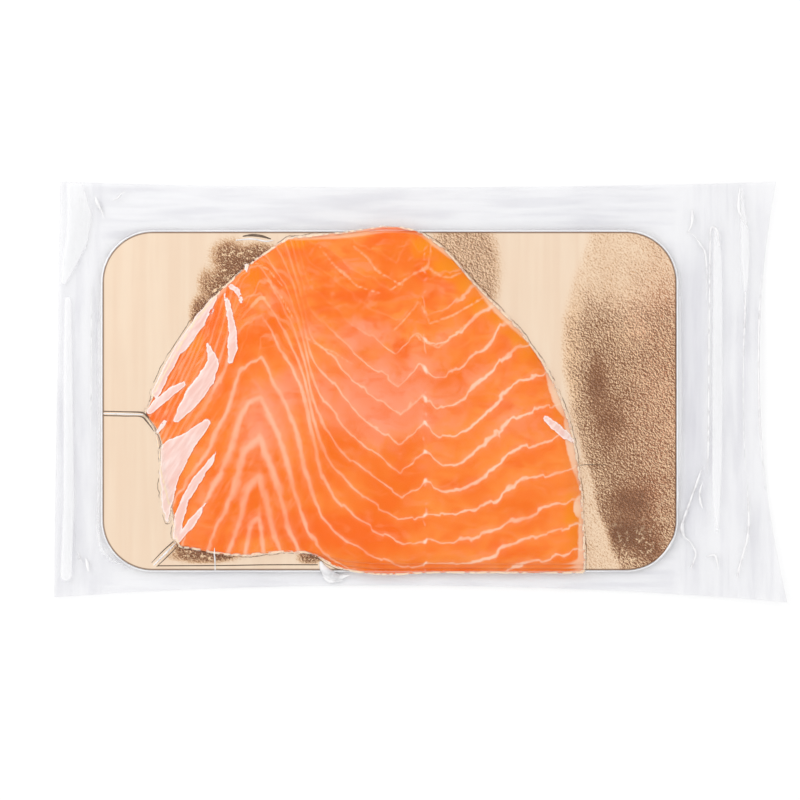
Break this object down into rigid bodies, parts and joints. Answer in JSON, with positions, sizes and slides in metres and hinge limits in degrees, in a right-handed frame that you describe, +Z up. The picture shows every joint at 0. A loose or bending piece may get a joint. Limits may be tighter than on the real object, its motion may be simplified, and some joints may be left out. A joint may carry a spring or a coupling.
{
  "type": "pack of smoked salmon",
  "caption": "Flat vacuum pack of sliced smoked salmon on a gold card board in a clear sealed pouch.",
  "frame": {"origin": "middle of the pouch's underside, on the surface the pack lies on", "axes": "+Z up out of the shown side, +X along the pack's length towards the end with the film folds, +Y towards the edge where the slices' tops are"},
  "size_m": [0.2928, 0.168, 0.008],
  "materials": {
    "clear_film": "clear glossy film, soft wrinkles",
    "gold_foil": "gold foil on card, finely grained, mirror bright",
    "salmon_flesh": "moist orange flesh with pale fat lines"
  },
  "bodies": {
    "root": {"pouch": "clear_film", "board": "gold_foil", "slice_bottom": "salmon_flesh", "slice_middle": "salmon_flesh", "slice_top": "salmon_flesh"}
  },
  "joints": []
}
